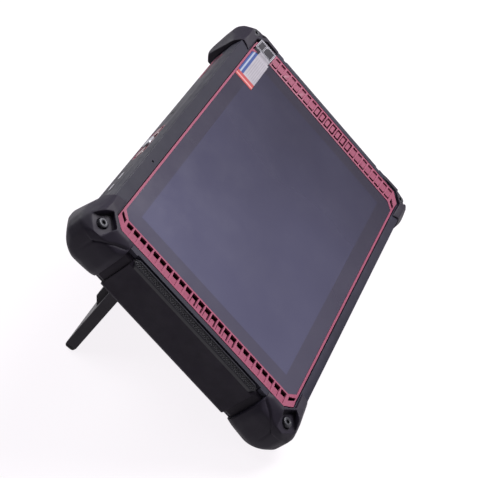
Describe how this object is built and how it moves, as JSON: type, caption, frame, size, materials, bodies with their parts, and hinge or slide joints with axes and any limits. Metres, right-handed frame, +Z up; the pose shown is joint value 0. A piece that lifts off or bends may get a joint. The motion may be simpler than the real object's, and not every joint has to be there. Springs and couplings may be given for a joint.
{
  "type": "rugged tablet data collector",
  "caption": "Rugged tablet computer with rubber corner bumpers and rose-red grille trim, leaning back on an open rear kickstand.",
  "frame": {"origin": "middle of the footprint of the tablet and its open kickstand, on the floor", "axes": "+X along the screen's width to the screen's right side, -Y towards the user in front of the screen, +Z up from the floor"},
  "size_m": [0.2952, 0.189, 0.1598],
  "materials": {
    "case_plastic": "finely textured charcoal, slightly satin",
    "seal_rubber": "matt",
    "rose_trim": "satin rose-red",
    "mesh_cloth": "dark woven mesh",
    "cover_glass": "gloss over a dark grey-violet border",
    "display": "switched-off panel",
    "plate_metal": "brushed",
    "board": "solder mask",
    "brass": "turned",
    "battery_wrap": "film wrapped",
    "inner_plastic": "moulded",
    "bumper_rubber": "fine matt grain",
    "screw_steel": "dark oxide with bright wear",
    "strip_plastic": "knurled, satin",
    "key_silver": "satin silver",
    "key_maroon": "satin",
    "mark_white": "printed",
    "lens_glass": "coated",
    "flash_lens": "clear dome over a pale emitter",
    "stand_plastic": "textured",
    "foot_rubber": "matt",
    "bracket_steel": "plain",
    "clear_film": "thin translucent film"
  },
  "bodies": {
    "tablet": {"front_frame": "case_plastic", "rear_shell": "case_plastic", "shell_seal": "seal_rubber", "trim_frame": "rose_trim", "grille_mesh_left": "mesh_cloth", "grille_mesh_right": "mesh_cloth", "cover_glass": "cover_glass", "display_panel": "display", "mid_plate": "plate_metal", "main_board": "board", "board_spacers": "brass", "processor_shield": "plate_metal", "battery_pack": "battery_wrap", "battery_strap": "plate_metal", "speaker_left": "inner_plastic", "speaker_right": "inner_plastic", "microphone_boot": "seal_rubber", "bumper_upper_left": "bumper_rubber", "bumper_upper_right": "bumper_rubber", "bumper_lower_left": "bumper_rubber", "bumper_lower_right": "bumper_rubber", "bumper_screws": "screw_steel", "grip_left": "bumper_rubber", "grip_right": "bumper_rubber", "knurl_strip_left": "strip_plastic", "knurl_strip_right": "strip_plastic", "key_surround": "rose_trim", "key_board": "board", "port_cover": "bumper_rubber", "cover_marks": "mark_white", "port_block": "plate_metal", "plug_surround": "rose_trim", "plug_cover": "bumper_rubber", "charge_port": "plate_metal", "headset_socket": "inner_plastic", "camera_surround": "case_plastic", "camera_window": "lens_glass", "camera_module": "inner_plastic", "flash_window": "flash_lens", "shell_screws": "screw_steel", "mount_inserts": "brass", "hinge_brackets": "bracket_steel", "bracket_screws": "screw_steel", "hinge_pins": "screw_steel", "film_label": "mark_white", "film_tab": "clear_film"},
    "kickstand": {"stand_leg": "stand_plastic", "stand_foot": "foot_rubber"},
    "power_button": {"power_key": "key_silver"},
    "lower_button": {"lower_key": "key_maroon"},
    "raise_button": {"raise_key": "key_maroon"}
  },
  "joints": [
    {"name": "stand_hinge", "type": "hinge", "parent": "tablet", "child": "kickstand", "pos_m": [0, 0.01884, 0.10277], "axis": [1, 0, 0], "range_deg": [-79, 0]},
    {"name": "power_travel", "type": "slide", "parent": "tablet", "child": "power_button", "axis": [0, -0.682, -0.7314], "range_m": [0, 0.0012], "stiffness_N_per_m": 900, "springref_m": -0.0006},
    {"name": "lower_travel", "type": "slide", "parent": "tablet", "child": "lower_button", "axis": [0, -0.682, -0.7314], "range_m": [0, 0.0012], "stiffness_N_per_m": 900, "springref_m": -0.0006},
    {"name": "raise_travel", "type": "slide", "parent": "tablet", "child": "raise_button", "axis": [0, -0.682, -0.7314], "range_m": [0, 0.0012], "stiffness_N_per_m": 900, "springref_m": -0.0006}
  ]
}
